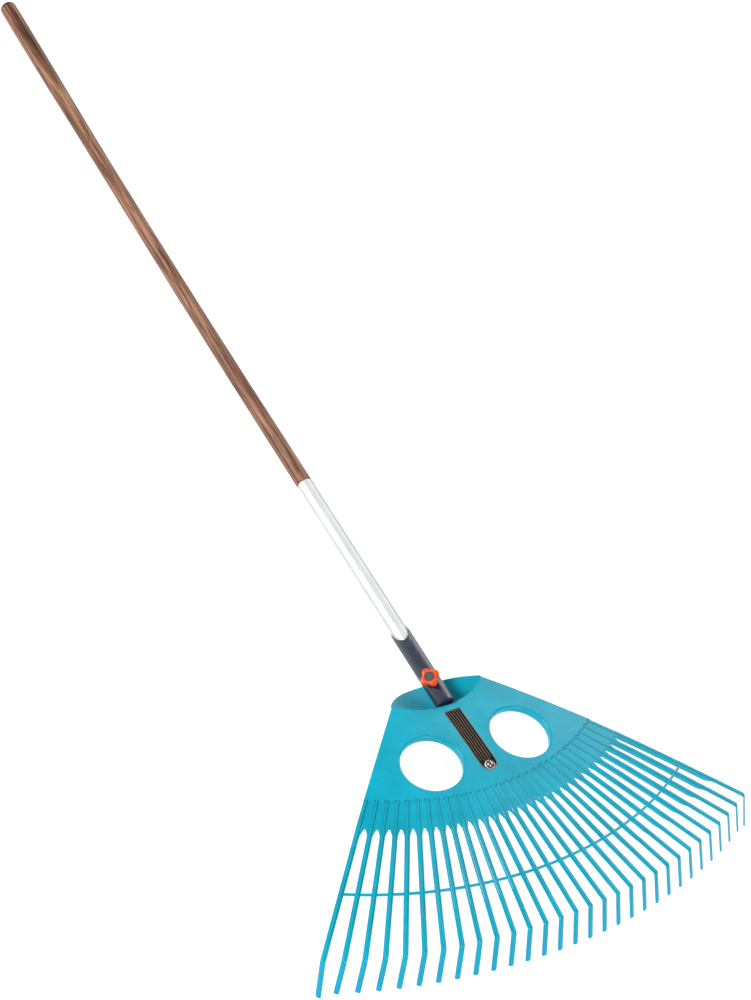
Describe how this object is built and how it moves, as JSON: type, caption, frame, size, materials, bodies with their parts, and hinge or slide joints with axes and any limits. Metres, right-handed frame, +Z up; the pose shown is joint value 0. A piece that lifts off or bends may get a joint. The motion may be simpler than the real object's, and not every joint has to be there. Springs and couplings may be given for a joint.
{
  "type": "leaf rake",
  "caption": "Wide fan-shaped plastic leaf rake with two hand holes, clamped to a long wood and aluminium handle by a knob-tightened adapter.",
  "frame": {"origin": "middle of the rake's bounding box, on the floor it lies on", "axes": "+Y along the handle, away from the tines; +X across the head; +Z up, with the rake lying on its outer tine tips and the handle's end"},
  "size_m": [0.759, 1.9793, 0.0936],
  "materials": {
    "teal_plastic": "moulded, satin",
    "dark_plastic": "moulded, satin",
    "cap_plastic": "moulded, matte",
    "orange_plastic": "moulded, semi-gloss",
    "aluminium": "drawn and anodised",
    "steel": "zinc plated",
    "wood": "turned and oiled"
  },
  "bodies": {
    "head": {"head_panel": "teal_plastic", "crossbar": "teal_plastic", "adapter": "dark_plastic", "tongue_screw": "steel", "screw_washer": "steel", "screw_nut": "steel", "tine_01": "teal_plastic", "tine_02": "teal_plastic", "tine_03": "teal_plastic", "tine_04": "teal_plastic", "tine_05": "teal_plastic", "tine_06": "teal_plastic", "tine_07": "teal_plastic", "tine_08": "teal_plastic", "tine_09": "teal_plastic", "tine_10": "teal_plastic", "tine_11": "teal_plastic", "tine_12": "teal_plastic", "tine_13": "teal_plastic", "tine_14": "teal_plastic", "tine_15": "teal_plastic", "tine_16": "teal_plastic", "tine_17": "teal_plastic", "tine_18": "teal_plastic", "tine_19": "teal_plastic", "tine_20": "teal_plastic", "tine_21": "teal_plastic", "tine_22": "teal_plastic", "tine_23": "teal_plastic", "tine_24": "teal_plastic", "tine_25": "teal_plastic", "tine_26": "teal_plastic", "tine_27": "teal_plastic", "tine_28": "teal_plastic", "tine_29": "teal_plastic", "tine_30": "teal_plastic"},
    "handle": {"wooden_handle": "wood", "handle_end_cap": "dark_plastic", "aluminium_tube": "aluminium", "tube_plug": "dark_plastic"},
    "clamp_pad": {"pressure_pad": "dark_plastic"},
    "clamp_knob": {"clamp_knob": "orange_plastic", "knob_cap": "cap_plastic", "clamp_stud": "steel"}
  },
  "joints": [
    {"name": "handle_slide", "type": "slide", "parent": "head", "child": "handle", "axis": [0, 0.9991, -0.0434], "range_m": [0, 0.09]},
    {"name": "pad_travel", "type": "slide", "parent": "head", "child": "clamp_pad", "axis": [-0.4695, 0.0383, 0.8821], "range_m": [0, 0.0015]},
    {"name": "knob_turn", "type": "hinge", "parent": "clamp_pad", "child": "clamp_knob", "pos_m": [-0.00869, -0.53942, 0.07473], "axis": [-0.4695, 0.0383, 0.8821], "range_deg": [0, 360]}
  ],
  "couplings": [
    {"joint": "pad_travel", "follows": "knob_turn", "m_per_rad": 0.000238}
  ]
}
